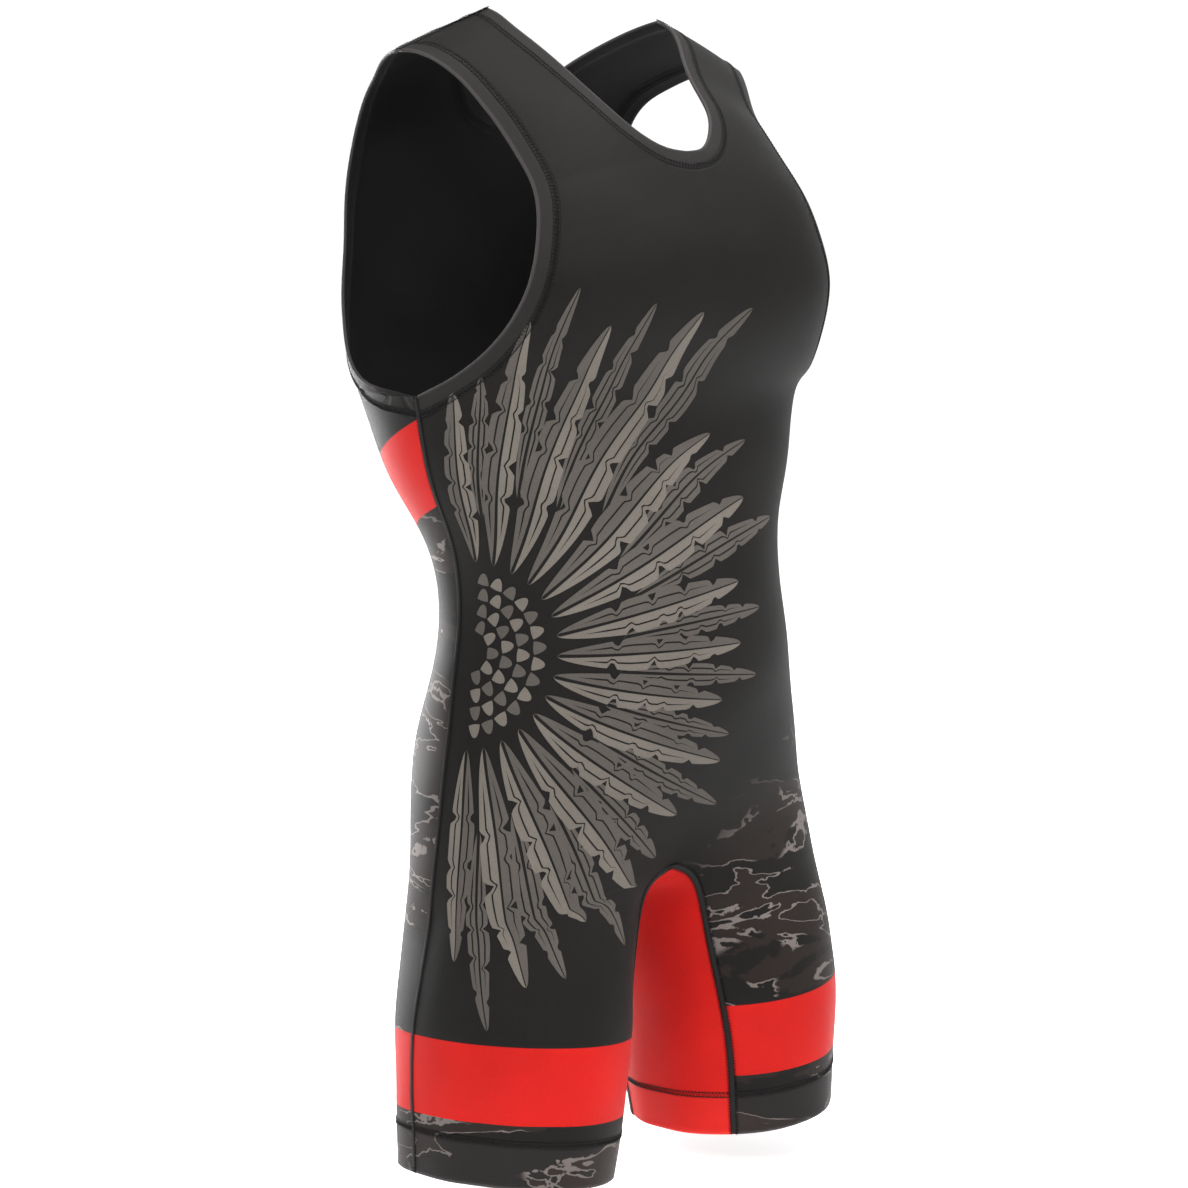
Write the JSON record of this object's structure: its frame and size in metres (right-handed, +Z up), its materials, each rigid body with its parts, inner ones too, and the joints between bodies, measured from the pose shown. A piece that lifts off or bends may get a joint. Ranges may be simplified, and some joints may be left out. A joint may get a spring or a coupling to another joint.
{
  "type": "wrestling singlet",
  "caption": "Sleeveless one-piece stretch-knit wrestling singlet, worn form with no wearer: scoop neck, open armholes, thigh-length legs, crotch gusset.",
  "frame": {"origin": "midway between the two shoulder straps, level with the neck ends of the shoulder seams, where the wearer holds the garment up", "axes": "+X to the wearer's left, -Y to the wearer's front, +Z up"},
  "size_m": [0.3564, 0.2403, 0.7959],
  "materials": {
    "black_knit_front": "smooth stretch knit with a soft sheen",
    "black_knit_back": "smooth stretch knit with a soft sheen",
    "red_knit": "smooth stretch knit with a soft sheen"
  },
  "bodies": {
    "root": {"front_panel": "black_knit_front", "back_panel": "black_knit_back", "gusset": "red_knit"}
  },
  "joints": []
}
